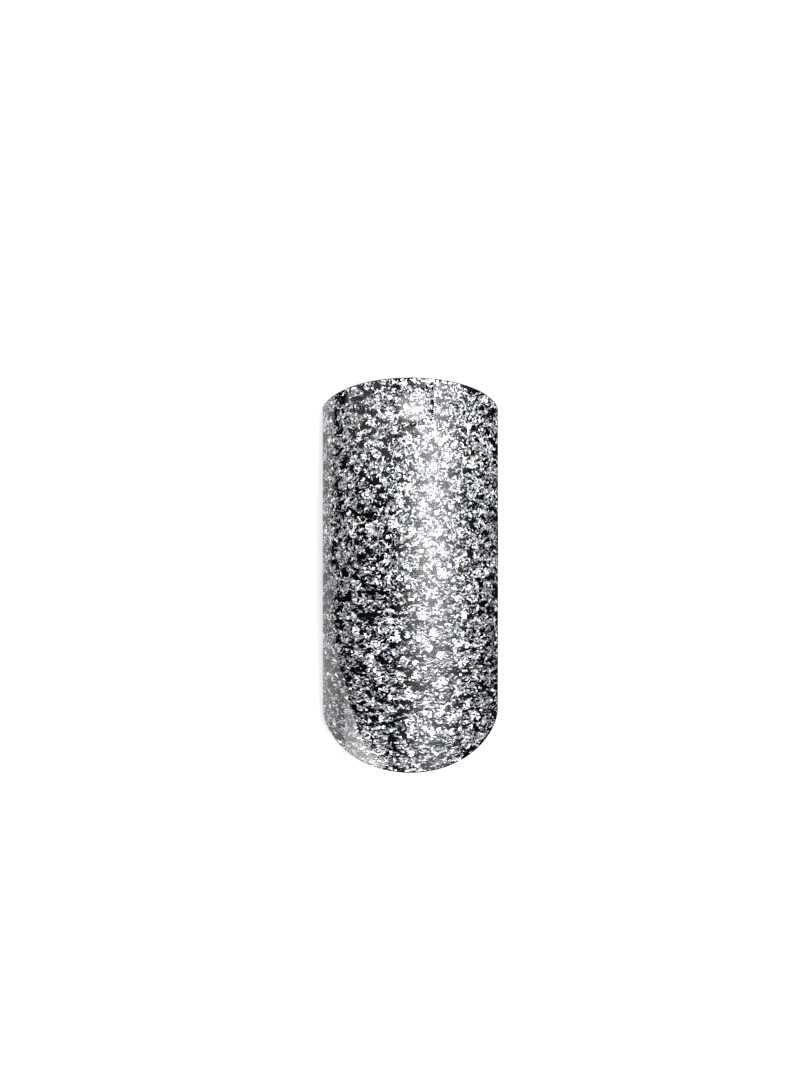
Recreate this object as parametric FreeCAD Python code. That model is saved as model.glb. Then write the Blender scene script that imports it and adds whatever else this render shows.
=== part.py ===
# Press-on nail: a moulded plastic tip under black polish with silver foil flakes, and the adhesive tab that
# holds it to a natural nail.
#
# Frame: +Z up out of the polished face, +Y towards the free edge, X across. The origin is the middle of the
# bounding box's base, so the nail lies hollow side down on z = 0. All sizes are in millimetres.
#
# The polished face is part of a ring torus whose axis runs along X, below the nail. The tube's radius is the
# C-curve across the nail, and the ring's outer radius is the arch along it. Every coat is a skin between two
# such tubes with the same centre line, so the coats meet face to face.

import FreeCAD
import Part

import math
import os
import random

from FreeCAD import Vector

# Outline, seen from above
nail_width = 10.0
nail_length = 22.3
free_edge_bow = 1.87        # how far the free edge runs beyond its corners
cuticle_bow = 3.84          # how far the cuticle end runs beyond its corners
corner_margin = 0.03        # the ends are this much wider than the nail, which leaves a slight corner

# Curvature of the polished face
side_angle = math.radians(66.5)     # how far the C-curve turns across the nail, each side of the crest
arch_radius = 50.0          # along the crest
arch_apex_y = 1.0           # highest point of the arch, placed so that the nail lies level

# Coats, from the tip outwards
base_coat_thickness = 0.05
black_coat_thickness = 0.08
binder_thickness = 0.22
top_coat_thickness = 0.12
coat_inset = 0.05           # the top coat caps the other coats by this much at every edge

# Tip
seat_length = 14.0          # from the cuticle end to the stop, on the centre line
seat_side_wall = 0.30       # wall beside the seat
seat_wall_at_cuticle = 0.32     # crest wall at the cuticle end
seat_wall_at_stop = 0.40        # crest wall at the stop
free_wall = 0.65            # wall beyond the stop
stop_bow = 1.2              # how far the stop bows towards the free edge

# Adhesive tab
upper_adhesive_thickness = 0.11
carrier_film_thickness = 0.06
lower_adhesive_thickness = 0.11
tab_edge_gap = 0.55         # from the cuticle end and the sides of the tip
tab_stop_gap = 0.45         # from the stop

# Foil flakes: each grade lies in its own deck of the binder, so that no flake touches another
flake_thickness = 0.02
flake_clearance = 0.01      # least binder above and below a flake
flake_side_gap = 0.04       # least binder between two flakes of one deck
flake_lean_share = 0.8      # greatest lean, as a share of the lean that a flake's deck has room for
flake_seed = 7
flake_grades = {            # name: (flakes, least radius, greatest radius)
    "large_foil_flakes": (120, 0.26, 0.36),
    "medium_foil_flakes": (170, 0.18, 0.25),
    "small_foil_flakes": (210, 0.11, 0.17),
}

# Worked out
c_curve_radius = nail_width / 2 / math.sin(side_angle)
tube_centre_radius = arch_radius - c_curve_radius
top_coat_radius = c_curve_radius
binder_radius = top_coat_radius - top_coat_thickness
black_radius = binder_radius - binder_thickness
base_radius = black_radius - black_coat_thickness
shell_radius = base_radius - base_coat_thickness
seat_radius = shell_radius - seat_side_wall
free_inner_radius = shell_radius - free_wall
coat_side_angle = side_angle - coat_inset / c_curve_radius
tab_side_angle = side_angle - tab_edge_gap / seat_radius
cuticle_y = -nail_length / 2
free_edge_y = nail_length / 2
stop_y = cuticle_y + seat_length
ring_centre = Vector(0, arch_apex_y, -arch_radius)      # the crest is at z = 0 until the nail is lifted
across = Vector(1, 0, 0)
up = Vector(0, 0, 1)


def ring_angle(y, radius):
    """Turn about the ring's axis, from its top, at which a circle of this radius reaches y."""
    return math.asin((y - arch_apex_y) / radius)


def tube_point(y, drop):
    """Point on the tube's centre line that lies under the crest at y, moved this much towards the ring's centre."""
    angle = ring_angle(y, arch_radius)
    radius = tube_centre_radius - drop
    return ring_centre + Vector(0, radius * math.sin(angle), radius * math.cos(angle))


def sector_face(inner, outer, half_angle):
    """Flat face in the XZ plane, centred on the origin: the part of a ring within half_angle of +Z."""
    def at(radius, angle):
        return Vector(radius * math.sin(angle), 0, radius * math.cos(angle))
    edges = [
        Part.Arc(at(outer, -half_angle), at(outer, 0), at(outer, half_angle)).toShape(),
        Part.LineSegment(at(outer, half_angle), at(inner, half_angle)).toShape(),
        Part.Arc(at(inner, half_angle), at(inner, 0), at(inner, -half_angle)).toShape(),
        Part.LineSegment(at(inner, -half_angle), at(outer, -half_angle)).toShape(),
    ]
    return Part.Face(Part.Wire(edges))


def arched_skin(inner, outer, half_angle):
    """The ring between two tube radii, within half_angle of the crest, longer than the nail at both ends."""
    spare = 2.0
    start = ring_angle(cuticle_y - spare, arch_radius)
    end = ring_angle(free_edge_y + spare, arch_radius)
    face = sector_face(inner, outer, half_angle)
    face.translate(ring_centre + Vector(0, 0, tube_centre_radius))
    face.rotate(ring_centre, across, -math.degrees(start))
    return face.revolve(ring_centre, across, -math.degrees(end - start))


def end_curve(half_width, y, bow):
    """Half an ellipse across the nail, from +X to -X: its tips are at y, and its middle is bow further out."""
    long_axis = Vector(half_width, y, 0)
    middle = Vector(0, y + bow, 0)
    centre = Vector(0, y, 0)
    if abs(bow) > half_width:
        ellipse = Part.Ellipse(middle, long_axis, centre)
    else:
        ellipse = Part.Ellipse(long_axis, middle, centre)
    return Part.Arc(ellipse, ellipse.parameter(long_axis), ellipse.parameter(Vector(-half_width, y, 0)))


def plan_block(half_width, back_y, back_bow, front_y, front_bow):
    """Upright block with bowed ends, taller than the nail. Each end's y is at its middle."""
    front_tips = front_y - front_bow
    back_tips = back_y + back_bow
    edges = [
        end_curve(half_width, front_tips, front_bow).toShape(),
        Part.LineSegment(Vector(-half_width, front_tips, 0), Vector(-half_width, back_tips, 0)).toShape(),
        end_curve(half_width, back_tips, -back_bow).toShape(),
        Part.LineSegment(Vector(half_width, back_tips, 0), Vector(half_width, front_tips, 0)).toShape(),
    ]
    depth = 3 * c_curve_radius
    block = Part.Face(Part.Wire(Part.__sortEdges__(edges))).extrude(up * 2 * depth)
    block.translate(-up * depth)
    return block


def outline_block(inset):
    """The nail's outline, moved in by inset at both ends."""
    half_width = nail_width / 2 + corner_margin
    return plan_block(half_width, cuticle_y + inset, cuticle_bow - inset, free_edge_y - inset, free_edge_bow - inset)


def coat(inner, outer):
    """A coat under the top coat, between two tube radii."""
    return arched_skin(inner, outer, coat_side_angle).common(outline_block(coat_inset))


def top_coat():
    """Covers the other coats and caps their edges, down to the tip."""
    blank = arched_skin(shell_radius, top_coat_radius, side_angle).common(outline_block(0))
    return blank.cut(coat(shell_radius, binder_radius))


def seat_frame():
    """The seat's axis: a point under the cuticle end, and the direction towards the free edge."""
    back = tube_point(cuticle_y, seat_wall_at_cuticle - seat_side_wall)
    front = tube_point(stop_y, seat_wall_at_stop - seat_side_wall)
    return back, (front - back).normalize()


def seat_zone(stop_gap, cuticle_gap):
    """Plan of the seat: the nail's outline at the cuticle end, and the bowed stop in front."""
    half_width = nail_width / 2 + corner_margin
    back_y = cuticle_y + cuticle_gap
    return plan_block(half_width, back_y, cuticle_bow, stop_y - stop_gap, stop_bow)


def along_seat(face):
    """Runs a flat face along the seat's axis, past both of its ends."""
    spare = 4.0
    back, direction = seat_frame()
    run = face.copy()
    run.rotate(Vector(0, 0, 0), across, math.degrees(math.asin(direction.z)))
    run.translate(back - direction * spare)
    return run.extrude(direction * (seat_length + 2 * spare))


def tip_shell():
    """The moulded tip: a hollow tube segment with a straight round seat, and a stop in front of it."""
    blank = arched_skin(free_inner_radius / 2, shell_radius, side_angle).common(outline_block(0))
    zone = seat_zone(0, -1.0)
    round_seat = along_seat(Part.Face(Part.Wire(Part.makeCircle(seat_radius, Vector(0, 0, 0), Vector(0, 1, 0)))))
    free_hollow = Part.makeTorus(tube_centre_radius, free_inner_radius, ring_centre, across)
    return blank.cut(round_seat.common(zone)).cut(free_hollow.cut(zone))


def tab_layer(outer, thickness):
    """One layer of the adhesive tab, round about the seat's axis."""
    blank = along_seat(sector_face(outer - thickness, outer, tab_side_angle))
    return blank.common(seat_zone(tab_stop_gap, tab_edge_gap))


def flake_outline(random_source, radius):
    """Irregular outline of five to seven corners around the origin, in the XY plane, none beyond radius."""
    corners = random_source.randint(5, 7)
    start = random_source.uniform(0, 2 * math.pi)
    points = []
    for i in range(corners):
        angle = start + 2 * math.pi * (i + random_source.uniform(-0.22, 0.22)) / corners
        reach = radius * random_source.uniform(0.55, 1.0)
        points.append(Vector(reach * math.cos(angle), reach * math.sin(angle), 0))
    return Part.makePolygon(points + points[:1])


def flake_frame(y, side, height):
    """Placement on the nail: side is the turn about the tube, height the tube radius of the flake's underside."""
    angle = ring_angle(y, arch_radius)
    centre = tube_point(y, 0)
    turn_side = FreeCAD.Rotation(Vector(0, 1, 0), math.degrees(side))
    turn_ring = FreeCAD.Rotation(across, -math.degrees(angle))
    turn = turn_ring.multiply(turn_side)
    return FreeCAD.Placement(centre + turn.multVec(up * height), turn)


def inside_outline(x, y, margin):
    """True if a point in plan is at least margin inside the nail's outline."""
    half_width = nail_width / 2 - margin
    if abs(x) > half_width:
        return False
    bow = math.sqrt(1 - (x / half_width) ** 2)
    front = free_edge_y - free_edge_bow + (free_edge_bow - margin) * bow
    back = cuticle_y + cuticle_bow - (cuticle_bow - margin) * bow
    return back < y < front


def foil_flakes(random_source, count, least, greatest, deck_low, deck_high):
    """One grade of flakes, scattered over one deck with no two touching."""
    placed = []
    flakes = []
    while len(flakes) < count:
        radius = random_source.uniform(least, greatest)
        y = random_source.uniform(cuticle_y, free_edge_y)
        side = random_source.uniform(-coat_side_angle, coat_side_angle)
        along = (y - arch_apex_y) * (1 - c_curve_radius * (1 - math.cos(side)) / arch_radius) + arch_apex_y
        margin = radius + coat_inset + flake_clearance
        round_the_side = abs(side) * black_radius + margin > coat_side_angle * black_radius
        if round_the_side or not inside_outline(black_radius * math.sin(side), along, margin):
            continue
        here = (black_radius * side, along)
        if any(math.dist(here, there) < radius + other + flake_side_gap for there, other in placed):
            continue
        placed.append((here, radius))
        bulge = radius ** 2 / (2 * deck_low)
        room = deck_high - deck_low - flake_thickness - bulge
        lean = random_source.uniform(0, flake_lean_share) * math.asin(room / (2 * radius))
        rise = radius * math.sin(lean)
        height = deck_low + rise + (room - 2 * rise) * random_source.random()
        lean_axis = FreeCAD.Rotation(up, random_source.uniform(0, 360)).multVec(across)
        flake = Part.Face(flake_outline(random_source, radius)).extrude(up * flake_thickness)
        flake.rotate(Vector(0, 0, 0), lean_axis, math.degrees(lean))
        flake.Placement = flake_frame(y, side, height).multiply(flake.Placement)
        flakes.append(flake)
    return Part.makeCompound(flakes)


def all_flakes():
    """Every grade of flake in its own deck, the largest lowest."""
    random_source = random.Random(flake_seed)
    deck = (binder_thickness - (len(flake_grades) + 1) * flake_clearance) / len(flake_grades)
    low = black_radius + flake_clearance
    grades = {}
    for name, (count, least, greatest) in flake_grades.items():
        grades[name] = foil_flakes(random_source, count, least, greatest, low, low + deck)
        low += deck + flake_clearance
    return grades


def build():
    """All sub-parts, with the nail lifted so that it stands on z = 0."""
    flakes = all_flakes()
    every_flake = [flake for grade in flakes.values() for flake in grade.Solids]
    carrier_radius = seat_radius - upper_adhesive_thickness
    lower_radius = carrier_radius - carrier_film_thickness
    parts = {
        "tip_shell": tip_shell(),
        "base_coat": coat(shell_radius, base_radius),
        "black_colour_coat": coat(base_radius, black_radius),
        "flake_binder": coat(black_radius, binder_radius).cut(every_flake),
        "top_coat": top_coat(),
        "upper_tab_adhesive": tab_layer(seat_radius, upper_adhesive_thickness),
        "tab_carrier_film": tab_layer(carrier_radius, carrier_film_thickness),
        "lower_tab_adhesive": tab_layer(lower_radius, lower_adhesive_thickness),
    }
    parts.update(flakes)
    lift = -parts["tip_shell"].optimalBoundingBox().ZMin
    for shape in parts.values():
        shape.translate(up * lift)
    return parts, lift


def report_seat(lift):
    """Prints the seat's place and size, which the record repeats."""
    back, direction = seat_frame()
    middle = back + direction * (seat_length / 2) + up * lift
    lower_face = seat_radius - upper_adhesive_thickness - carrier_film_thickness - lower_adhesive_thickness
    print("seat axis point", [round(c, 4) for c in middle], "direction", [round(c, 5) for c in direction])
    print("seat radius at the tab's lower face", round(lower_face, 4), "lift", round(lift, 4))


def main():
    """Builds and writes every sub-part."""
    os.makedirs("parts", exist_ok=True)
    parts, lift = build()
    for name, shape in parts.items():
        solids = shape.Solids
        shape = solids[0] if len(solids) == 1 else Part.makeCompound(solids)
        shape.exportStep(f"parts/{name}.step")
        box = shape.optimalBoundingBox()
        print(f"{name}: {len(solids)} solids, {shape.Volume:.3f} mm3, valid {shape.isValid()},",
              f"{box.XLength:.3f} x {box.YLength:.3f} x {box.ZLength:.3f}, z from {box.ZMin:.3f}")
    report_seat(lift)


main()
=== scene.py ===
"""Press-on nail: black polish crowded with silver foil under clear gloss, on a moulded tip with its tab.

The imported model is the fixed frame, in metres: +Z out of the polished face, +Y towards the free edge, and
X across. The polished face is part of a ring torus. A place on it is a turn about the tube, a distance y
along the nail in plan, and a tube radius; NailForm turns these into points.
"""

import logging
import math
from dataclasses import dataclass
from enum import Enum
from typing import Dict, List, Sequence, Tuple, Union

import bpy
import numpy as np
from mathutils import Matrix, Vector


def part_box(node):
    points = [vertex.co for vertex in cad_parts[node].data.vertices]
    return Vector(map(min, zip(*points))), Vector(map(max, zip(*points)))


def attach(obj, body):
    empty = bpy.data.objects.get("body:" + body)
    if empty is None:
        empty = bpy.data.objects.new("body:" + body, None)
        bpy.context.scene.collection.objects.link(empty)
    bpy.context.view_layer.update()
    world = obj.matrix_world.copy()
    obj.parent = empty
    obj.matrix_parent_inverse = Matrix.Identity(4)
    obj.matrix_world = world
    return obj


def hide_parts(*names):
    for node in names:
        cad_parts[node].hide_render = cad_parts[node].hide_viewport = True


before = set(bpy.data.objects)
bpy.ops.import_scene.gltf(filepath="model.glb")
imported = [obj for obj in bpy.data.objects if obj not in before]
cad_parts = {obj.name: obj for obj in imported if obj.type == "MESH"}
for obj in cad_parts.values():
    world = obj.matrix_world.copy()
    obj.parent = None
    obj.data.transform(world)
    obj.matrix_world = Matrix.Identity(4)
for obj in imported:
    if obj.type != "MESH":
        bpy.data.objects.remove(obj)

MM = 0.001
ROOT = "root"
log = logging.getLogger("press_on_nail")

Colour = Tuple[float, float, float]
Stops = Tuple[Tuple[float, Colour], ...]

# Steps along two axes by the inverse of the plastic number and by its square spread points evenly.
PLASTIC_NUMBER = 1.32471795724
EVEN_STEPS = np.array([1.0 / PLASTIC_NUMBER, 1.0 / PLASTIC_NUMBER**2])


class Slot(Enum):
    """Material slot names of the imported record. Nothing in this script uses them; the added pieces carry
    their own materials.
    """

    BLACK_POLISH = "black_polish"
    SILVER_FOIL = "silver_foil"
    CLEAR_GLOSS = "clear_gloss"


# ---------------------------------------------------------------- shader helpers


class ShaderBench:
    """A new material with its nodes, and short calls that add and join nodes."""

    noise_low: float = 0.3
    noise_high: float = 0.7

    def __init__(self, name: str) -> None:
        """Makes the material with one Principled shader and its output.

        Args:
            name: the material's name.
        """
        self.material = bpy.data.materials.new(name)
        self.material.use_nodes = True
        self.tree = self.material.node_tree
        self.tree.nodes.clear()
        self.output = self.add("ShaderNodeOutputMaterial")
        self.shader = self.add("ShaderNodeBsdfPrincipled")
        self.join(self.shader, "BSDF", self.output, "Surface")

    def add(self, kind: str, **settings: object) -> bpy.types.Node:
        """Adds a node.

        Args:
            kind: type name of the node.
            **settings: properties to set on it.

        Returns:
            The new node.
        """
        node = self.tree.nodes.new(kind)
        for key, value in settings.items():
            setattr(node, key, value)
        return node

    def join(self, source: bpy.types.Node, out: str, target: bpy.types.Node, into: str) -> None:
        """Joins one node's output to another's input."""
        self.tree.links.new(source.outputs[out], target.inputs[into])

    def set(self, **values: object) -> None:
        """Sets the shader's own sockets. A name's underscores stand for spaces."""
        for key, value in values.items():
            self.shader.inputs[key.replace("_", " ")].default_value = value

    def own_places(self, stretch: Sequence[float] = (1.0, 1.0, 1.0)) -> bpy.types.Node:
        """Object coordinates, stretched by a Mapping node.

        Args:
            stretch: factor on each axis.

        Returns:
            The Mapping node.
        """
        places = self.add("ShaderNodeTexCoord")
        mapping = self.add("ShaderNodeMapping")
        mapping.inputs["Scale"].default_value = stretch
        self.join(places, "Object", mapping, "Vector")
        return mapping

    def noise(self, places: bpy.types.Node, size: float, detail: float) -> bpy.types.Node:
        """Adds noise at the given places.

        Args:
            places: node whose Vector output gives the places.
            size: rough width of the noise's features, in metres.
            detail: how many finer octaves it has.

        Returns:
            The noise node.
        """
        node = self.add("ShaderNodeTexNoise")
        node.inputs["Scale"].default_value = 1.0 / size
        node.inputs["Detail"].default_value = detail
        self.join(places, "Vector", node, "Vector")
        return node

    def span(self, source: bpy.types.Node, out: str, low: float, high: float, target: str) -> None:
        """Maps the usual range of a noise to a range of the shader's own.

        Args:
            source: node that gives the signal.
            out: its output.
            low: value at the low end of the noise.
            high: value at the high end of the noise.
            target: socket of the shader that takes the result.
        """
        node = self.add("ShaderNodeMapRange")
        ends = {"From Min": self.noise_low, "From Max": self.noise_high, "To Min": low, "To Max": high}
        for socket, value in ends.items():
            node.inputs[socket].default_value = value
        self.join(source, out, node, "Value")
        self.join(node, "Result", self.shader, target)

    def ramp(self, source: bpy.types.Node, out: str, stops: Stops) -> bpy.types.Node:
        """Adds a colour ramp over a signal.

        Args:
            source: node that gives the signal.
            out: its output.
            stops: places on the ramp, each with its colour.

        Returns:
            The ramp node.
        """
        node = self.add("ShaderNodeValToRGB")
        elements = node.color_ramp.elements
        while len(elements) < len(stops):
            elements.new(0.5)
        for element, (place, colour) in zip(elements, stops):
            element.position = place
            element.color = (*colour, 1.0)
        self.join(source, out, node, "Fac")
        return node

    def product(self, first: bpy.types.NodeSocket, second: bpy.types.NodeSocket) -> bpy.types.NodeSocket:
        """Multiplies two colours.

        Args:
            first: one colour.
            second: the other.

        Returns:
            The output that carries their product.
        """
        node = self.add("ShaderNodeMix", data_type="RGBA", blend_type="MULTIPLY")
        node.inputs["Factor"].default_value = 1.0
        colour_a, colour_b, colour_result = 6, 7, 2
        self.tree.links.new(first, node.inputs[colour_a])
        self.tree.links.new(second, node.inputs[colour_b])
        return node.outputs[colour_result]

    def bump(self, source: bpy.types.Node, out: str, height: float, strength: float) -> None:
        """Feeds a bump to the shader.

        Args:
            source: node that gives the height signal.
            out: its output.
            height: height of the signal's full swing, in metres.
            strength: share of the bump that counts.
        """
        node = self.add("ShaderNodeBump")
        node.inputs["Distance"].default_value = height
        node.inputs["Strength"].default_value = strength
        self.join(source, out, node, "Height")
        self.join(node, "Normal", self.shader, "Normal")


# ---------------------------------------------------------------- finishes


@dataclass(frozen=True)
class ClearGloss:
    """Cured clear gel: smooth, bright and very slightly cool where it is thick."""

    tint: Colour = (0.985, 0.985, 0.99)
    roughness: Tuple[float, float] = (0.015, 0.05)
    ior: float = 1.5
    ripple: float = 0.0006 * MM
    ripple_size: float = 1.6 * MM
    ripple_strength: float = 0.6
    brush_stretch: Tuple[float, float, float] = (1.0, 0.45, 1.0)

    def material(self) -> bpy.types.Material:
        """Clear resin with a faint orange-peel ripple and brushed-on gloss changes."""
        bench = ShaderBench("clear_gloss_coat")
        bench.set(Base_Color=(*self.tint, 1.0), IOR=self.ior, Transmission_Weight=1.0)
        ripple = bench.noise(bench.own_places(self.brush_stretch), self.ripple_size, 2.0)
        bench.span(ripple, "Fac", *self.roughness, target="Roughness")
        bench.bump(ripple, "Fac", self.ripple, self.ripple_strength)
        return bench.material


@dataclass(frozen=True)
class BlackPolish:
    """Black gel colour: nearly black, with fine pigment mottling."""

    dark: Colour = (0.0006, 0.0006, 0.0009)
    light: Colour = (0.0020, 0.0020, 0.0030)
    roughness: Tuple[float, float] = (0.45, 0.6)
    pigment_size: float = 0.6 * MM

    def material(self) -> bpy.types.Material:
        """Black polish, dulled because the clear coat over it carries the gloss."""
        bench = ShaderBench("black_gel_polish")
        bench.set(Specular_IOR_Level=0.0)
        pigment = bench.noise(bench.own_places(), self.pigment_size, 2.0)
        colour = bench.ramp(pigment, "Fac", ((0.35, self.dark), (0.7, self.light)))
        bench.join(colour, "Color", bench.shader, "Base Color")
        bench.span(pigment, "Fac", *self.roughness, target="Roughness")
        return bench.material


@dataclass(frozen=True)
class SilverFoil:
    """Crumpled, tattered silver foil. Each flake has a tint and a random tone, and is black where it is torn.
    The tone is painted glint and shade: it brightens or darkens each flake's colour as its tilt towards the
    light would.
    """

    name: str
    roughness: Tuple[float, float] = (0.34, 0.50)
    crumple: float = 0.010 * MM
    crumple_size: float = 0.09 * MM
    crumple_strength: float = 0.5
    tear_size: float = 0.17 * MM
    tear_stretch: Tuple[float, float, float] = (0.8, 1.4, 1.0)
    tear_edge: Tuple[float, float] = (0.40, 0.43)
    torn_colour: Colour = (0.004, 0.004, 0.005)
    whole_colour: Colour = (1.0, 1.0, 1.0)
    patch_size: float = 0.3 * MM
    own_tones: bool = True
    tints: Stops = (
        (0.0, (0.72, 0.85, 1.0)),
        (0.25, (0.88, 0.93, 0.98)),
        (0.5, (0.96, 0.96, 0.95)),
        (0.75, (0.91, 0.88, 1.0)),
        (0.88, (0.97, 0.95, 0.92)),
        (1.0, (1.0, 0.88, 0.74)),
    )
    # Painted glint and shade: the tone runs each flake's colour from dark to full bright.
    painted_glint_shades: Stops = (
        (0.0, (0.12, 0.12, 0.13)),
        (0.5, (0.68, 0.68, 0.69)),
        (1.0, (1.0, 1.0, 1.0)),
    )

    def material(self) -> bpy.types.Material:
        """Silver foil, torn and crumpled.

        A flake's tint and tone come from its own attributes. Where it has none, they come from patches about
        as large as a flake. The tone is painted glint and shade: it brightens or darkens each flake's colour.

        Returns:
            The material.
        """
        bench = ShaderBench(self.name)
        bench.set(Metallic=1.0)
        places = bench.own_places()
        creases = bench.noise(places, self.crumple_size, 2.0)
        if self.own_tones:
            tone = bench.add("ShaderNodeAttribute", attribute_name="tone")
            tint = bench.add("ShaderNodeAttribute", attribute_name="tint")
            signal = "Fac"
        else:
            tone = tint = bench.add("ShaderNodeTexVoronoi")
            tone.inputs["Scale"].default_value = 1.0 / self.patch_size
            bench.join(places, "Vector", tone, "Vector")
            signal = "Color"
        tinted = bench.ramp(tint, signal, self.tints)
        # Painted glint and shade: the tone ramp darkens or brightens each flake's colour.
        painted_glint_shade = bench.ramp(tone, signal, self.painted_glint_shades)
        grain = bench.noise(bench.own_places(self.tear_stretch), self.tear_size, 3.0)
        torn, whole = self.tear_edge
        tears = bench.ramp(grain, "Fac", ((torn, self.torn_colour), (whole, self.whole_colour)))
        foil = bench.product(tinted.outputs["Color"], painted_glint_shade.outputs["Color"])
        colour = bench.product(foil, tears.outputs["Color"])
        bench.tree.links.new(colour, bench.shader.inputs["Base Color"])
        bench.span(creases, "Fac", *self.roughness, target="Roughness")
        bench.bump(creases, "Fac", self.crumple, self.crumple_strength)
        return bench.material


@dataclass(frozen=True)
class TipPlastic:
    """Moulded nail tip: milky, slightly see-through plastic with faint flow lines."""

    light: Colour = (0.72, 0.685, 0.63)
    dark: Colour = (0.63, 0.59, 0.535)
    roughness: Tuple[float, float] = (0.30, 0.46)
    milkiness: float = 0.35
    glow_depth: float = 0.4 * MM
    glow_reach: Colour = (1.0, 0.8, 0.6)
    flow_size: float = 0.35 * MM
    flow_stretch: Tuple[float, float, float] = (1.0, 0.12, 1.0)
    flow_height: float = 0.003 * MM
    flow_strength: float = 0.35
    ior: float = 1.49

    def material(self) -> bpy.types.Material:
        """Satin plastic with flow lines along the nail."""
        bench = ShaderBench("milky_tip_plastic")
        bench.set(Subsurface_Weight=self.milkiness, Subsurface_Scale=self.glow_depth)
        bench.set(Subsurface_Radius=self.glow_reach, IOR=self.ior)
        flow = bench.noise(bench.own_places(self.flow_stretch), self.flow_size, 4.0)
        colour = bench.ramp(flow, "Fac", ((0.3, self.dark), (0.65, self.light)))
        bench.join(colour, "Color", bench.shader, "Base Color")
        bench.span(flow, "Fac", *self.roughness, target="Roughness")
        bench.bump(flow, "Fac", self.flow_height, self.flow_strength)
        return bench.material


@dataclass(frozen=True)
class ClearLayer:
    """A thin clear layer seen only at its rim or from below, such as the base coat and the tab's layers."""

    name: str
    light: Colour
    dark: Colour
    see_through: float
    roughness: Tuple[float, float]
    grain: float = 0.25 * MM
    grain_height: float = 0.004 * MM
    grain_strength: float = 0.4
    ior: float = 1.47

    def material(self) -> bpy.types.Material:
        """Clear layer with uneven tint and gloss."""
        bench = ShaderBench(self.name)
        bench.set(Transmission_Weight=self.see_through, IOR=self.ior)
        grain = bench.noise(bench.own_places(), self.grain, 4.0)
        colour = bench.ramp(grain, "Fac", ((0.3, self.dark), (0.7, self.light)))
        bench.join(colour, "Color", bench.shader, "Base Color")
        bench.span(grain, "Fac", *self.roughness, target="Roughness")
        bench.bump(grain, "Fac", self.grain_height, self.grain_strength)
        return bench.material


# ---------------------------------------------------------------- form of the nail


@dataclass(frozen=True)
class NailForm:
    """The polished face: part of a ring torus, cut to the nail's outline."""

    half_width: float
    length: float
    crest_height: float
    side_angle: float = math.radians(66.5)
    arch_radius: float = 50.0 * MM
    arch_apex_y: float = 1.0 * MM
    free_edge_bow: float = 1.87 * MM
    cuticle_bow: float = 3.84 * MM
    corner_margin: float = 0.03 * MM

    @classmethod
    def from_frame(cls) -> "NailForm":
        """Takes the width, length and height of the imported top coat.

        Returns:
            The form.
        """
        low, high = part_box("top_coat")
        return cls(half_width=high.x, length=high.y - low.y, crest_height=high.z)

    @property
    def face_radius(self) -> float:
        """Tube radius of the polished face: half the width over the sine of the side angle."""
        return self.half_width / math.sin(self.side_angle)

    @property
    def core_radius(self) -> float:
        """Radius of the ring on which the tube's centre runs."""
        return self.arch_radius - self.face_radius

    def ends(self, x: np.ndarray) -> Tuple[np.ndarray, np.ndarray]:
        """Plan positions of both ends at a distance x from the middle line.

        Each end is half an ellipse. It falls back from the nail's full length by its bow times one minus the
        square root of one minus the square of x over the half-width.

        Args:
            x: distance from the middle line.

        Returns:
            y of the cuticle end, and y of the free edge.
        """
        share = x / (self.half_width + self.corner_margin)
        fall = 1.0 - np.sqrt(np.clip(1.0 - share**2, 0.0, 1.0))
        return self.cuticle_bow * fall - self.length / 2, self.length / 2 - self.free_edge_bow * fall

    def place(self, turn: np.ndarray, y: np.ndarray, radius: np.ndarray) -> np.ndarray:
        """Points at a turn about the tube, a plan distance y and a tube radius.

        x is the radius times the turn's sine. The distance from the ring's axis is the core radius plus the
        radius times the turn's cosine, and the height completes the right triangle with y.

        Args:
            turn: turn about the tube, in radians, from the crest towards +X.
            y: plan distance along the nail.
            radius: tube radius.

        Returns:
            Points, with x, y and z on the last axis.
        """
        reach = self.core_radius + radius * np.cos(turn)
        height = np.sqrt(reach**2 - (y - self.arch_apex_y) ** 2) - self.arch_radius + self.crest_height
        return np.stack(np.broadcast_arrays(radius * np.sin(turn), y, height), axis=-1)

    def axes(self, turn: np.ndarray, y: np.ndarray) -> Tuple[np.ndarray, np.ndarray, np.ndarray]:
        """Unit vectors at places on the polished face.

        The sine of the swing about the ring's axis is the distance from the arch's top over the distance from
        that axis. Each vector's parts are products of the turn's and the swing's sines and cosines.

        Args:
            turn: turn about the tube of each place.
            y: plan distance along the nail of each place.

        Returns:
            Vectors across, along and out of the surface.
        """
        swing = np.arcsin((y - self.arch_apex_y) / (self.core_radius + self.face_radius * np.cos(turn)))
        sin_t, cos_t, sin_s, cos_s = np.sin(turn), np.cos(turn), np.sin(swing), np.cos(swing)
        across = np.stack([cos_t, -sin_t * sin_s, -sin_t * cos_s], axis=-1)
        along = np.stack([np.zeros_like(turn), cos_s, -sin_s], axis=-1)
        out = np.stack([sin_t, cos_t * sin_s, cos_t * cos_s], axis=-1)
        return across, along, out


def smooth_between(value: np.ndarray, start: float, end: float) -> np.ndarray:
    """Runs from 0 at start to 1 at end, level at both: three times the share squared, less twice its cube.

    Args:
        value: where to read it.
        start: value up to which it is 0.
        end: value from which it is 1.

    Returns:
        The result at each value.
    """
    share = np.clip((value - start) / (end - start), 0.0, 1.0)
    return share * share * (3.0 - 2.0 * share)


def mesh_object(name: str, points: np.ndarray, faces: List[Sequence[int]], smooth: bool) -> bpy.types.Object:
    """Makes a mesh object at the origin.

    Args:
        name: name of the object and its mesh.
        points: points, with x, y and z on the last axis.
        faces: indices of each face's points.
        smooth: whether the faces are shaded smooth.

    Returns:
        The new object.
    """
    mesh = bpy.data.meshes.new(name)
    mesh.from_pydata(points.reshape(-1, 3), [], faces)
    mesh.polygons.foreach_set("use_smooth", np.full(len(mesh.polygons), smooth))
    mesh.update()
    piece = bpy.data.objects.new(name, mesh)
    bpy.context.scene.collection.objects.link(piece)
    return piece


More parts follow.
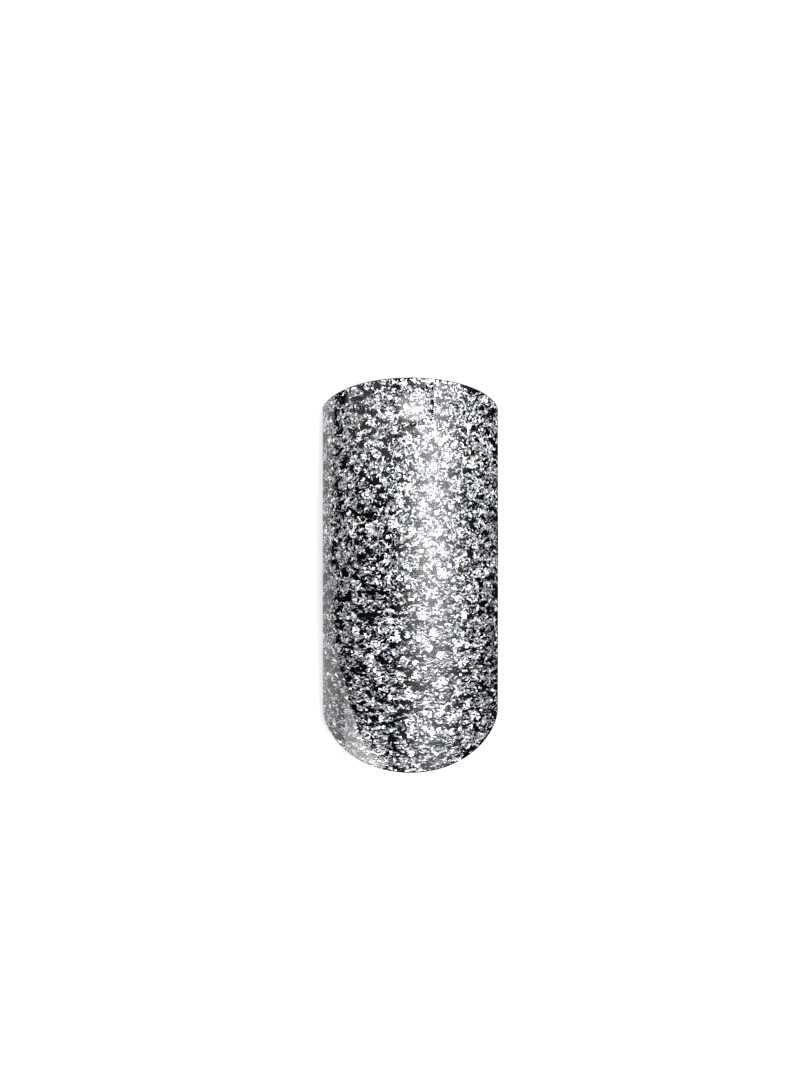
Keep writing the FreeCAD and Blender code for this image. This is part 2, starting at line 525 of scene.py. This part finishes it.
def grid_quads(rows: int, columns: int, start: int = 0) -> np.ndarray:
    """Quads of a grid of points, anticlockwise when rows run right and columns run up.

    Args:
        rows: points across.
        columns: points up.
        start: index of the grid's first point.

    Returns:
        One row of four indices per quad.
    """
    index = start + np.arange(rows * columns).reshape(rows, columns)
    corners = (index[:-1, :-1], index[1:, :-1], index[1:, 1:], index[:-1, 1:])
    return np.stack(corners, axis=-1).reshape(-1, 4)


def closed_skin(name: str, outer: np.ndarray, inner: np.ndarray, crease: float) -> bpy.types.Object:
    """Closes two grids of points into one shell, with a rim between their borders.

    Args:
        name: the piece's name.
        outer: grid of outer points, rows across the nail and columns along it.
        inner: grid of inner points of the same size.
        crease: angle in radians past which an edge is drawn sharp.

    Returns:
        The new object.
    """
    rows, columns = outer.shape[:2]
    count = rows * columns
    index = np.arange(count).reshape(rows, columns)
    border = np.concatenate([index[:, 0], index[-1, 1:], index[-2::-1, -1], index[0, -2:0:-1]])
    after = np.roll(border, -1)
    rim = np.stack([border + count, after + count, after, border], axis=-1)
    quads = np.concatenate([grid_quads(rows, columns), grid_quads(rows, columns, count)[:, ::-1], rim])
    points = np.concatenate([outer.reshape(-1, 3), inner.reshape(-1, 3)])
    piece = mesh_object(name, points, quads.tolist(), True)
    piece.data.set_sharp_from_angle(angle=crease)
    return piece


@dataclass(frozen=True)
class CoatLayers:
    """How the coats lie over the tip: full depth in the middle, and drawn thin towards the nail's edges."""

    form: NailForm
    clear_depth: float = 0.34 * MM
    edge_depth: float = 0.02 * MM
    taper: float = 0.9 * MM
    rim_round: float = 0.05 * MM
    base_radius_drop: float = 0.42 * MM
    overlap: float = 0.015 * MM
    rows: int = 150
    columns: int = 260
    rim_steps: int = 7

    def spread(self, span: float, steps: int) -> np.ndarray:
        """Distances from one edge to the other: arc steps round each rim, and even steps between them."""
        arc = self.rim_round * (1.0 - np.cos(np.linspace(0.0, math.pi / 2, self.rim_steps)))
        middle = np.linspace(self.rim_round, span - self.rim_round, steps)[1:-1]
        return np.concatenate([arc, middle, span - arc[::-1]])

    def drop(self, gap: np.ndarray) -> np.ndarray:
        """How far the outer face falls at a gap from an edge: a quarter circle of the rim's radius."""
        short = self.rim_round - np.clip(gap, 0.0, self.rim_round)
        return self.rim_round - np.sqrt(np.clip(self.rim_round**2 - short**2, 0.0, None))

    def depth(self, side_gap: np.ndarray, end_gap: np.ndarray) -> np.ndarray:
        """Depth of clear resin over the black: full inside, and down to the edge depth at every edge."""
        inside = smooth_between(side_gap, 0.0, self.taper) * smooth_between(end_gap, 0.0, self.taper)
        return self.edge_depth + (self.clear_depth - self.edge_depth) * inside

    def radii(self, side_gap: np.ndarray, end_gap: np.ndarray) -> Tuple[np.ndarray, np.ndarray]:
        """Tube radii of the outer face and of the black's face, at gaps from the side and the nearer end."""
        outer = self.form.face_radius - np.maximum(self.drop(side_gap), self.drop(end_gap))
        return outer, outer - self.depth(side_gap, end_gap)

    def grids(self) -> Dict[str, np.ndarray]:
        """Lays a grid of points on each face of the coats.

        The turn runs evenly across and y runs from end to end of the outline at that turn, both with finer
        steps round the rims.

        Returns:
            Grids of the outer face, the black's face, the clear coat's underside and the black's underside.
        """
        form = self.form
        arc = self.spread(2 * form.side_angle * form.face_radius, self.rows)
        turn = (arc / form.face_radius - form.side_angle)[:, None]
        along = self.spread(form.length, self.columns)[None, :]
        side_gap = (form.side_angle - np.abs(turn)) * form.face_radius
        outer, black = self.radii(side_gap, np.minimum(along, form.length - along))
        base = np.full_like(outer, form.face_radius - self.base_radius_drop)
        faces = {"outer": outer, "black": black, "clear_under": black - self.overlap, "base": base}
        grids = {}
        for name, radius in faces.items():
            back, front = form.ends(radius * np.sin(turn))
            grids[name] = form.place(turn, back + (front - back) * along / form.length, radius)
        return grids


@dataclass(frozen=True)
class PolishCoats:
    """The black colour coat, and the clear resin over it that holds the foil and carries the gloss."""

    layers: CoatLayers
    crease: float = math.radians(50.0)

    def build(self) -> List[bpy.types.Object]:
        """Builds both skins and dresses them.

        Returns:
            The clear coat and the black coat.
        """
        grids = self.layers.grids()
        clear = closed_skin("clear_gel_coat", grids["outer"], grids["clear_under"], self.crease)
        clear.data.materials.append(ClearGloss().material())
        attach(clear, ROOT)
        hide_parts("top_coat", "flake_binder")
        black = closed_skin("black_polish_coat", grids["black"], grids["base"], self.crease)
        black.data.materials.append(BlackPolish().material())
        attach(black, ROOT)
        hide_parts("black_colour_coat")
        return [clear, black]


# ---------------------------------------------------------------- foil


@dataclass(frozen=True)
class ClumpField:
    """A smooth random field over the unrolled nail that gathers the flakes and leaves gaps between them.

    It is the sum of many cosine waves with random directions, lengths and phases, longer across than along,
    and a bell curve across that crowds the flakes a little to the right of the middle.
    """

    seed: int = 11
    waves: int = 80
    shortest: float = 0.4 * MM
    longest: float = 1.6 * MM
    across_stretch: float = 1.6
    strength: float = 1.8
    middle: float = 1.8 * MM
    middle_width: float = 2.9 * MM
    middle_gain: float = 0.55

    def at(self, arc: np.ndarray, y: np.ndarray) -> np.ndarray:
        """Share of flakes that stay at each place: the field through a logistic curve.

        Args:
            arc: distance across the unrolled face, from its middle line.
            y: distance along the nail.

        Returns:
            Shares from 0 to 1.
        """
        source = np.random.default_rng(self.seed)
        length = self.shortest * (self.longest / self.shortest) ** source.random(self.waves)
        heading = source.uniform(0.0, 2 * math.pi, self.waves)
        phase = source.uniform(0.0, 2 * math.pi, self.waves)
        turns = 2 * math.pi / length
        across = arc[:, None] * turns * np.cos(heading) / self.across_stretch
        along = y[:, None] * turns * np.sin(heading)
        field = np.cos(across + along + phase).sum(axis=1) / math.sqrt(self.waves / 2)
        field += self.middle_gain * np.exp(-(((arc - self.middle) / self.middle_width) ** 2))
        return 1.0 / (1.0 + np.exp(-self.strength * field))


@dataclass(frozen=True)
class FoilGrade:
    """One size of foil flake, scattered through the clear resin.

    A flake's radius lies between least and greatest, reach is the share of it that a corner takes, and
    stretch is how much longer than wide the flake is drawn. From loose_from to loose_to along the nail, the
    headings' spread grows from level_turn to free_turn and the extra slimming fades.
    """

    name: str
    count: int
    least: float
    greatest: float
    corners: int
    seed: int
    stretch: Tuple[float, float] = (1.4, 3.8)
    reach: Tuple[float, float] = (0.18, 1.0)
    corner_jitter: float = 0.3
    place_jitter: float = 0.3
    tries: int = 4
    lean: float = math.radians(11.0)
    most_leans: float = 2.5
    crumple: float = 0.12
    slack_share: float = 0.4
    thickness: float = 0.006 * MM
    level_turn: float = math.radians(22.0)
    free_turn: float = math.radians(80.0)
    loose_from: float = -4.0 * MM
    loose_to: float = 6.0 * MM
    slimming: float = 0.35
    edge_gap: float = 0.055 * MM
    # Spread of the random tones that paint glint and shade on each flake.
    tones: Tuple[float, float] = (2.6, 1.2)

    def scatter(
        self, layers: CoatLayers, clumps: ClumpField, source: np.random.Generator
    ) -> Dict[str, np.ndarray]:
        """Chooses each flake's place and size.

        Places follow an even sequence over the unrolled face, a little jittered, and are thinned by the clump
        field. The first ones that stay are kept, up to the count.

        Args:
            layers: the coats that hold the flakes.
            clumps: the field that gathers them.
            source: random numbers.

        Returns:
            One value per flake of each: turn, y, the flake's radius, the gap to the nearer side and to the
            nearer end, and the lengths of nail behind and ahead.
        """
        form = layers.form
        step = np.arange(self.count * self.tries)[:, None] * EVEN_STEPS + source.random(2)
        jitter = self.place_jitter / math.sqrt(self.count)
        spread = (step + source.normal(0.0, jitter, step.shape)) % 1.0
        turn = (2 * spread[:, 0] - 1) * form.side_angle
        y = (spread[:, 1] - 0.5) * form.length
        radius = self.least * (self.greatest / self.least) ** source.random(len(turn))
        back, front = form.ends(form.face_radius * np.sin(turn))
        side_gap = (form.side_angle - np.abs(turn)) * form.face_radius
        end_gap = np.minimum(front - y, y - back)
        stays = np.minimum(side_gap, end_gap) > self.edge_gap
        stays &= source.random(len(turn)) < clumps.at(form.face_radius * turn, y)
        chosen = np.flatnonzero(stays)[: self.count]
        found = {"turn": turn, "y": y, "radius": radius, "side_gap": side_gap, "end_gap": end_gap}
        found |= {"behind": y - back, "ahead": front - y}
        return {key: value[chosen] for key, value in found.items()}

    def cut(self, flat: np.ndarray, spots: Dict[str, np.ndarray], form: NailForm) -> np.ndarray:
        """Cuts the outlines short where they would pass the nail's own outline.

        Args:
            flat: corners in each flake's own plane.
            spots: places of the flakes.
            form: form of the nail.

        Returns:
            The corners, held an edge gap inside the nail's sides and ends.
        """
        left = (spots["turn"] + form.side_angle) * form.face_radius - self.edge_gap
        right = (form.side_angle - spots["turn"]) * form.face_radius - self.edge_gap
        behind, ahead = self.edge_gap - spots["behind"], spots["ahead"] - self.edge_gap
        across = np.clip(flat[..., 0], -left[:, None], right[:, None])
        along = np.clip(flat[..., 1], behind[:, None], ahead[:, None])
        return np.stack([across, along], axis=-1)

    def outlines(self, radius: np.ndarray, y: np.ndarray, source: np.random.Generator) -> np.ndarray:
        """Ragged outlines in each flake's own plane.

        Each corner's angle is an even share of the circle with some jitter, and its reach is a random share
        of the flake's radius. The outline is then drawn out along one heading. Near the cuticle the heading
        is mostly across the nail and the flakes are slimmer; towards the free edge they are freer.

        Args:
            radius: radius of each flake.
            y: place of each flake along the nail.
            source: random numbers.

        Returns:
            Corners, indexed by flake, corner, and across or along.
        """
        count = len(radius)
        jitter = source.uniform(-self.corner_jitter, self.corner_jitter, (count, self.corners))
        step = np.arange(self.corners) + jitter
        angle = 2 * math.pi * (source.random((count, 1)) + step / self.corners)
        reach = radius[:, None] * source.uniform(*self.reach, (count, self.corners))
        loose = smooth_between(y, self.loose_from, self.loose_to)
        slimness = 1.0 + self.slimming - self.slimming * loose[:, None]
        long_way = reach * np.cos(angle)
        short_way = reach * np.sin(angle) / source.uniform(*self.stretch, (count, 1)) / slimness
        freedom = self.level_turn + (self.free_turn - self.level_turn) * loose
        heading = source.normal(0.0, freedom)[:, None]
        across = long_way * np.cos(heading) - short_way * np.sin(heading)
        along = long_way * np.sin(heading) + short_way * np.cos(heading)
        return np.stack([across, along], axis=-1)

    def build(self, layers: CoatLayers, clumps: ClumpField) -> bpy.types.Object:
        """Makes the whole grade as one mesh of thin, crumpled, closed flakes.

        A flake is a ring of corners and a middle point, on its upper and on its lower face. Heights above the
        flake's own radius are its lean times the distance along the lean's heading, plus crumple noise, held
        within the depth of the clear coat there.

        Args:
            layers: the coats that hold the flakes.
            clumps: the field that gathers them.

        Returns:
            The new object.
        """
        source = np.random.default_rng(self.seed)
        spots = self.scatter(layers, clumps, source)
        turn, y, radius = spots["turn"], spots["y"], spots["radius"]
        count = len(turn)
        corners = self.cut(self.outlines(radius, y, source), spots, layers.form)
        flat = np.concatenate([corners, corners.mean(axis=1, keepdims=True)], axis=1)
        most = self.most_leans * self.lean
        lean = np.clip(source.normal(0.0, self.lean, (count, 1)), -most, most)
        lean_heading = source.uniform(0.0, 2 * math.pi, (count, 1))
        rise = np.tan(lean) * (flat[..., 0] * np.cos(lean_heading) + flat[..., 1] * np.sin(lean_heading))
        rise = rise + radius[:, None] * source.normal(0.0, self.crumple, (count, self.corners + 1))
        outer, black = layers.radii(spots["side_gap"], spots["end_gap"])
        slack = np.clip(self.slack_share * (outer - black) - self.thickness, 0.0, None)
        rise = np.clip(rise, -slack[:, None], slack[:, None])
        above, below = rise.max(axis=1) + self.thickness, self.thickness - rise.min(axis=1)
        level = black + below + (outer - black - above - below) * source.random(count)
        across, along, out = layers.form.axes(turn, y)
        middle = layers.form.place(turn, y, level)
        sag = flat[..., 0] ** 2 / (2 * layers.form.face_radius)
        upper = (
            middle[:, None, :]
            + flat[..., 0, None] * across[:, None, :]
            + flat[..., 1, None] * along[:, None, :]
            + (rise - sag)[..., None] * out[:, None, :]
        )
        lower = upper - self.thickness * out[:, None, :]
        points = np.concatenate([upper, lower], axis=1)
        piece = mesh_object(self.name, points, self.faces(count), False)
        # Each flake's random tone, stored here, is painted glint and shade in the foil's colour.
        self.tell(piece, "tone", source.beta(*self.tones, count))
        self.tell(piece, "tint", source.random(count))
        return piece

    def faces(self, count: int) -> List[List[int]]:
        """Fans over the upper and lower faces, and quads round the edge, for every flake.

        Args:
            count: how many flakes there are.

        Returns:
            Indices of each face's points.
        """
        ring = np.arange(self.corners)
        after = np.roll(ring, -1)
        hub = np.full(self.corners, self.corners)
        step = self.corners + 1
        upper = np.stack([ring, after, hub], -1)
        lower = np.stack([after + step, ring + step, hub + step], -1)
        fans = np.concatenate([upper, lower])
        sides = np.stack([ring + step, after + step, after, ring], -1)
        start = (np.arange(count) * 2 * step)[:, None, None]
        return (start + fans).reshape(-1, 3).tolist() + (start + sides).reshape(-1, 4).tolist()

    def tell(self, piece: bpy.types.Object, name: str, values: np.ndarray) -> None:
        """Stores one value per flake as a point attribute."""
        store = piece.data.attributes.new(name, "FLOAT", "POINT")
        store.data.foreach_set("value", np.repeat(values, 2 * (self.corners + 1)).astype(np.float32))


@dataclass(frozen=True)
class FoilFill:
    """All the foil in the clear resin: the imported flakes, and the finer grades between them."""

    layers: CoatLayers
    clumps: ClumpField = ClumpField()
    packed: Tuple[str, ...] = ("large_foil_flakes", "medium_foil_flakes", "small_foil_flakes")
    grades: Tuple[FoilGrade, ...] = (
        FoilGrade("broad_foil_shards", 2900, 0.155 * MM, 0.28 * MM, corners=8, seed=21),
        FoilGrade("foil_shards", 8200, 0.10 * MM, 0.185 * MM, corners=6, seed=24),
        FoilGrade("foil_chips", 9500, 0.055 * MM, 0.11 * MM, corners=5, seed=22),
        FoilGrade("foil_specks", 9500, 0.025 * MM, 0.05 * MM, corners=5, seed=23),
    )

    def build(self) -> List[bpy.types.Object]:
        """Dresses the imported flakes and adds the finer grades.

        Returns:
            The added pieces.
        """
        # The imported flakes take their tone, a painted glint and shade, from patches about as large as a
        # flake.
        packed_foil = SilverFoil(
            "packed_silver_foil", tear_size=0.14 * MM, tear_edge=(0.475, 0.505), own_tones=False
        ).material()
        for name in self.packed:
            dress(name, packed_foil)
        foil = SilverFoil("scattered_silver_foil").material()
        pieces = [grade.build(self.layers, self.clumps) for grade in self.grades]
        for piece in pieces:
            piece.data.materials.append(foil)
            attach(piece, ROOT)
        return pieces


# ---------------------------------------------------------------- tip and tab


def dress(node: str, material: bpy.types.Material) -> None:
    """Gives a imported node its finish.

    Args:
        node: the node's name.
        material: its finish.
    """
    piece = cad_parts[node]
    for holder in piece.material_slots:
        holder.material = material
    if not piece.material_slots:
        piece.data.materials.append(material)


@dataclass(frozen=True)
class TipAndTab:
    """The moulded tip, its base coat and the three layers of the adhesive tab."""

    plastic: TipPlastic = TipPlastic()
    base: ClearLayer = ClearLayer(
        "clear_base_coat", (0.95, 0.95, 0.93), (0.90, 0.90, 0.87), see_through=0.9, roughness=(0.08, 0.2)
    )
    adhesive: ClearLayer = ClearLayer(
        "tacky_tab_adhesive", (0.93, 0.93, 0.90), (0.84, 0.84, 0.80), see_through=0.75, roughness=(0.18, 0.4)
    )
    film: ClearLayer = ClearLayer(
        "tab_film", (0.93, 0.95, 0.97), (0.86, 0.88, 0.92), see_through=0.6, roughness=(0.1, 0.25)
    )

    def dress_all(self) -> None:
        """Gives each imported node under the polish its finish."""
        dress("tip_shell", self.plastic.material())
        dress("base_coat", self.base.material())
        adhesive = self.adhesive.material()
        dress("upper_tab_adhesive", adhesive)
        dress("lower_tab_adhesive", adhesive)
        dress("tab_carrier_film", self.film.material())


# ---------------------------------------------------------------- studio


@dataclass(frozen=True)
class Vault:
    """Part of a cylinder about the nail's length, which a light panel follows. Turns are in degrees."""

    reach: float
    turns: Tuple[float, float]
    length: Tuple[float, float]
    steps: Tuple[int, int]

    def grid(self) -> Tuple[np.ndarray, np.ndarray, np.ndarray]:
        """Lays a grid on the vault.

        At a turn from straight up towards +X, x is the reach times the turn's sine and z is the reach times
        its cosine; y is the place along the nail.

        Returns:
            Turns in degrees as a column, places along the nail as a row, and the grid of points.
        """
        turn = np.linspace(*self.turns, self.steps[0])[:, None]
        y = np.linspace(*self.length, self.steps[1])[None, :]
        across, up = self.reach * np.sin(np.radians(turn)), self.reach * np.cos(np.radians(turn))
        return turn, y, np.stack(np.broadcast_arrays(across, y, up), axis=-1)


@dataclass(frozen=True)
class Studio:
    """Pale floor, soft light and the camera."""

    form: NailForm
    floor_half: float = 1.6
    floor_colour: Colour = (0.86, 0.86, 0.87)
    floor_roughness: Tuple[float, float] = (0.8, 0.95)
    floor_mottling: float = 20.0 * MM
    world_light: float = 0.03
    world_seen: float = 0.93
    overhead_vault: Vault = Vault(0.45, (-18.5, 88.0), (-0.34, 0.46), (50, 80))
    overhead_turn: float = 26.5
    overhead_width: float = 27.0
    overhead_glow: Tuple[float, float] = (2.8, 7.8)
    overhead_rise: Tuple[float, float] = (-0.18, 0.02)
    overhead_fall: Tuple[float, float] = (0.188, 0.223)
    overhead_dimming: float = 0.75
    foil_vault: Vault = Vault(0.52, (-75.0, 98.0), (-0.5, 0.5), (70, 40))
    foil_turns: Tuple[float, ...] = (-75.0, -62.0, -45.0, -30.0, -15.0, 0.0, 20.0, 45.0, 60.0, 75.0, 88.0)
    foil_ahead: Tuple[float, ...] = (1.7, 3.2, 5.6, 6.2, 5.6, 6.2, 6.0, 7.6, 10.0, 5.0, 2.5)
    foil_behind: Tuple[float, ...] = (1.8, 3.8, 8.8, 8.6, 6.6, 8.6, 10.0, 14.0, 19.0, 10.5, 5.5)
    back_vault: Vault = Vault(0.46, (-88.0, -19.0), (0.04, 0.40), (30, 20))
    back_glow: float = 1.15
    floor_vault: Vault = Vault(0.6, (-84.0, -20.0), (-0.5, 0.5), (20, 12))
    floor_glow: float = 1.8
    card_steps: Tuple[int, int] = (12, 10)
    card_glow: Tuple[float, float] = (3.0, 10.0)
    card_full_from: float = 0.6
    glint_glow: float = 2.0
    strip_steps: Tuple[int, int] = (24, 12)
    strip_reach: float = 0.40
    strip_turn: Tuple[float, float] = (3.0, 26.0)
    strip_lift: Tuple[float, float] = (22.0, 2.8)
    strip_fade: float = 0.8
    strip_glow: float = 11.0
    camera_offset: Tuple[float, float] = (-0.593 * MM, 2.36 * MM)
    camera_distance: float = 250.0 * MM
    aim_share: float = 0.6
    field_height: float = 60.3 * MM
    sensor: float = 36.0

    def floor(self) -> bpy.types.Object:
        """Lays a flat pale floor with the faintest mottling.

        Returns:
            The floor.
        """
        half = self.floor_half
        corners = np.array([[-half, -half, 0.0], [half, -half, 0.0], [half, half, 0.0], [-half, half, 0.0]])
        piece = mesh_object("studio_floor", corners, [[0, 1, 2, 3]], False)
        bench = ShaderBench("pale_floor")
        bench.set(Base_Color=(*self.floor_colour, 1.0), Specular_IOR_Level=0.0)
        grain = bench.noise(bench.own_places(), self.floor_mottling, 2.0)
        bench.span(grain, "Fac", *self.floor_roughness, target="Roughness")
        piece.data.materials.append(bench.material)
        return piece

    def world(self) -> None:
        """Makes a dim surround for light, and a pale one behind the floor's edge."""
        world = bpy.data.worlds.new("studio_surround")
        bpy.context.scene.world = world
        world.use_nodes = True
        tree = world.node_tree
        tree.nodes.clear()
        output = tree.nodes.new("ShaderNodeOutputWorld")
        background = tree.nodes.new("ShaderNodeBackground")
        rays = tree.nodes.new("ShaderNodeLightPath")
        amount = tree.nodes.new("ShaderNodeMapRange")
        amount.inputs["To Min"].default_value = self.world_light
        amount.inputs["To Max"].default_value = self.world_seen
        tree.links.new(rays.outputs["Is Camera Ray"], amount.inputs["Value"])
        tree.links.new(amount.outputs["Result"], background.inputs["Strength"])
        tree.links.new(background.outputs["Background"], output.inputs["Surface"])

    def glow_material(self, name: str) -> bpy.types.Material:
        """Light from a panel, as strong at each point as the panel's glow attribute says.

        Args:
            name: the material's name.

        Returns:
            The material.
        """
        material = bpy.data.materials.new(name)
        material.use_nodes = True
        tree = material.node_tree
        tree.nodes.clear()
        output = tree.nodes.new("ShaderNodeOutputMaterial")
        emission = tree.nodes.new("ShaderNodeEmission")
        glow = tree.nodes.new("ShaderNodeAttribute")
        glow.attribute_name = "glow"
        tree.links.new(glow.outputs["Fac"], emission.inputs["Strength"])
        tree.links.new(emission.outputs["Emission"], output.inputs["Surface"])
        return material

    def panel(self, name: str, points: np.ndarray, glow: Union[float, np.ndarray]) -> bpy.types.Object:
        """Makes a glowing panel that the camera doesn't see. It lights the gloss and the floor, not the foil.

        Args:
            name: the panel's name.
            points: grid of points.
            glow: radiance at each point, or one that holds for all.

        Returns:
            The new object.
        """
        rows, columns = points.shape[:2]
        piece = mesh_object(name, points, grid_quads(rows, columns).tolist(), True)
        store = piece.data.attributes.new("glow", "FLOAT", "POINT")
        store.data.foreach_set("value", np.broadcast_to(glow, (rows, columns)).astype(np.float32).ravel())
        piece.data.materials.append(self.glow_material(name + "_light"))
        piece.visible_camera = piece.visible_transmission = False
        return piece

    def overhead(self) -> bpy.types.Object:
        """Hangs a curved softbox over the nail, a little to its right.

        Its glow is a bell curve of the turn across times a smooth rise along the length. It dims beyond the
        free edge, where the gloss would mirror it at the rim.

        Returns:
            The panel.
        """
        turn, y, points = self.overhead_vault.grid()
        bell = np.exp(-(((turn - self.overhead_turn) / self.overhead_width) ** 2))
        low, high = self.overhead_glow
        rise = low + (high - low) * smooth_between(y, *self.overhead_rise)
        dimming = 1.0 - self.overhead_dimming * smooth_between(y, *self.overhead_fall)
        return self.panel("overhead_softbox", points, bell * rise * dimming)

    def foil_dome(self) -> bpy.types.Object:
        """Sets a wide vault of light that the gloss doesn't mirror, to light the foil through the clear coat.

        Its glow across is read from one table towards the free edge and from another towards the cuticle,
        with a smooth change between them, and it falls off towards the cuticle end.

        Returns:
            The panel.
        """
        turn, y, points = self.foil_vault.grid()
        ahead = np.interp(turn, self.foil_turns, self.foil_ahead)
        behind = np.interp(turn, self.foil_turns, self.foil_behind)
        glow = behind + (ahead - behind) * smooth_between(y, 0.0, 0.12)
        glow = glow * (0.5 + 0.5 * smooth_between(y, -0.3, 0.0))
        dome = self.panel("foil_dome", points, glow)
        dome.visible_transmission = True
        dome.visible_glossy = dome.visible_diffuse = False
        return dome

    def front_card(self) -> bpy.types.Object:
        """Stands a bright card at the front left, whose upper edge rises from the floor towards the front.

        It widens the pale band on the nail's left flank near the cuticle. Its glow grows towards the front,
        so the band is palest where it is widest.

        Returns:
            The panel.
        """
        along, up = self.card_steps
        low = np.linspace((-0.490, -0.085, 0.001), (-0.236, -0.400, 0.001), along)[:, None, :]
        high = np.linspace((-0.492, -0.088, 0.004), (-0.236, -0.236, 0.372), along)[:, None, :]
        points = low + (high - low) * np.linspace(0.0, 1.0, up)[None, :, None]
        share = smooth_between(np.linspace(0.0, 1.0, along)[:, None], 0.0, self.card_full_from)
        dim, full = self.card_glow
        return self.panel("front_card", points, dim + (full - dim) * share)

    def floor_glint(self) -> bpy.types.Object:
        """Lays a small bright card on the floor at the front left, seen only in the gloss of that flank.

        Returns:
            The panel.
        """
        level = 0.03
        near = [(-5.6, -14.0, level), (-5.6, -3.5, level)]
        far = [(-60.0, -50.0, level), (-60.0, -16.5, level)]
        card = self.panel("floor_glint", np.array([near, far]) * MM, self.glint_glow)
        card.visible_diffuse = card.visible_shadow = False
        return card

    def back_fill(self) -> bpy.types.Object:
        """Hangs a dim soft panel high at the left, beyond the free edge, that greys the gloss there a little.

        Its glow rises smoothly along the length and, less, across.

        Returns:
            The panel.
        """
        turn, y, points = self.back_vault.grid()
        glow = smooth_between(y, 0.05, 0.14) * (0.7 + 0.3 * smooth_between(turn, -60.0, -30.0))
        return self.panel("back_fill", points, self.back_glow * glow)

    def floor_fill(self) -> bpy.types.Object:
        """Sets a low soft panel at the left that lights the floor and the tip, but not the polish.

        Returns:
            The panel.
        """
        _, _, points = self.floor_vault.grid()
        fill = self.panel("floor_fill", points, self.floor_glow)
        fill.visible_glossy = False
        return fill

    def edge_strip(self) -> bpy.types.Object:
        """Hangs a thin bright strip beyond the free edge, which draws the gloss line near it.

        The strip lies on a sphere. Its turns and its lifts towards the free edge, in degrees, are a middle
        value and a spread each way, and its glow fades to its edges.

        Returns:
            The panel.
        """
        side = np.linspace(-1.0, 1.0, self.strip_steps[0])[:, None]
        rise = np.linspace(-1.0, 1.0, self.strip_steps[1])[None, :]
        turn = np.radians(self.strip_turn[0] + self.strip_turn[1] * side)
        lift = np.radians(self.strip_lift[0] + self.strip_lift[1] * rise)
        level = self.strip_reach * np.cos(lift)
        across, along, up = level * np.sin(turn), self.strip_reach * np.sin(lift), level * np.cos(turn)
        points = np.stack(np.broadcast_arrays(across, along, up), axis=-1)
        fade = smooth_between(1.0 - np.abs(side), 0.0, self.strip_fade)
        fade = fade * smooth_between(1.0 - np.abs(rise), 0.0, self.strip_fade)
        return self.panel("edge_strip", points, self.strip_glow * fade)

    def dark_cards(self) -> bpy.types.Object:
        """Lays black cards on the floor at both sides, seen only in the gloss, so the flanks stay deep black.

        The right one starts by the nail. The left one starts further off, so the left flank keeps a pale
        band, and is cut back towards the front, where the band widens.

        Returns:
            The cards.
        """
        far, level = 600.0, 0.02
        right = [(5.4, -far), (far, -far), (far, far), (5.4, far)]
        left_rim = [(-35.0, -10.4), (-16.0, -5.7), (-12.4, -2.4), (-10.7, 0.3)]
        left = [(-far, -108.0), *left_rim, (-10.7, far), (-far, far)]
        corners = np.array([(x, y, level) for x, y in right + left]) * MM
        faces = [list(range(len(right))), list(range(len(right), len(corners)))]
        piece = mesh_object("dark_cards", corners, faces, False)
        bench = ShaderBench("dark_card_black")
        bench.set(Base_Color=(0.01, 0.01, 0.01, 1.0), Specular_IOR_Level=0.0, Roughness=1.0)
        piece.data.materials.append(bench.material)
        piece.visible_camera = piece.visible_diffuse = piece.visible_shadow = False
        return piece

    def camera(self) -> None:
        """Hangs a long lens straight over the nail, with the free edge up."""
        lens = bpy.data.cameras.new("view")
        lens.sensor_width = self.sensor
        lens.lens = self.sensor * self.camera_distance / self.field_height
        lens.clip_start, lens.clip_end = 0.01, 5.0
        camera = bpy.data.objects.new("view", lens)
        level = self.form.crest_height * self.aim_share
        camera.location = (*self.camera_offset, level + self.camera_distance)
        bpy.context.scene.collection.objects.link(camera)
        bpy.context.scene.camera = camera

    def build(self) -> None:
        """Sets out the whole studio."""
        self.floor()
        self.world()
        self.overhead()
        self.foil_dome()
        self.front_card()
        self.floor_glint()
        self.back_fill()
        self.floor_fill()
        self.edge_strip()
        self.dark_cards()
        self.camera()
        bpy.context.scene.view_settings.view_transform = "Standard"


# ---------------------------------------------------------------- the whole nail


def main() -> None:
    """Builds the nail and its studio in order."""
    logging.basicConfig(level=logging.INFO, format="%(message)s")
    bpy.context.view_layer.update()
    form = NailForm.from_frame()
    layers = CoatLayers(form)
    for piece in PolishCoats(layers).build() + FoilFill(layers).build():
        log.info("%s: %d faces", piece.name, len(piece.data.polygons))
    TipAndTab().dress_all()
    Studio(form).build()


if __name__ == "__main__":
    main()
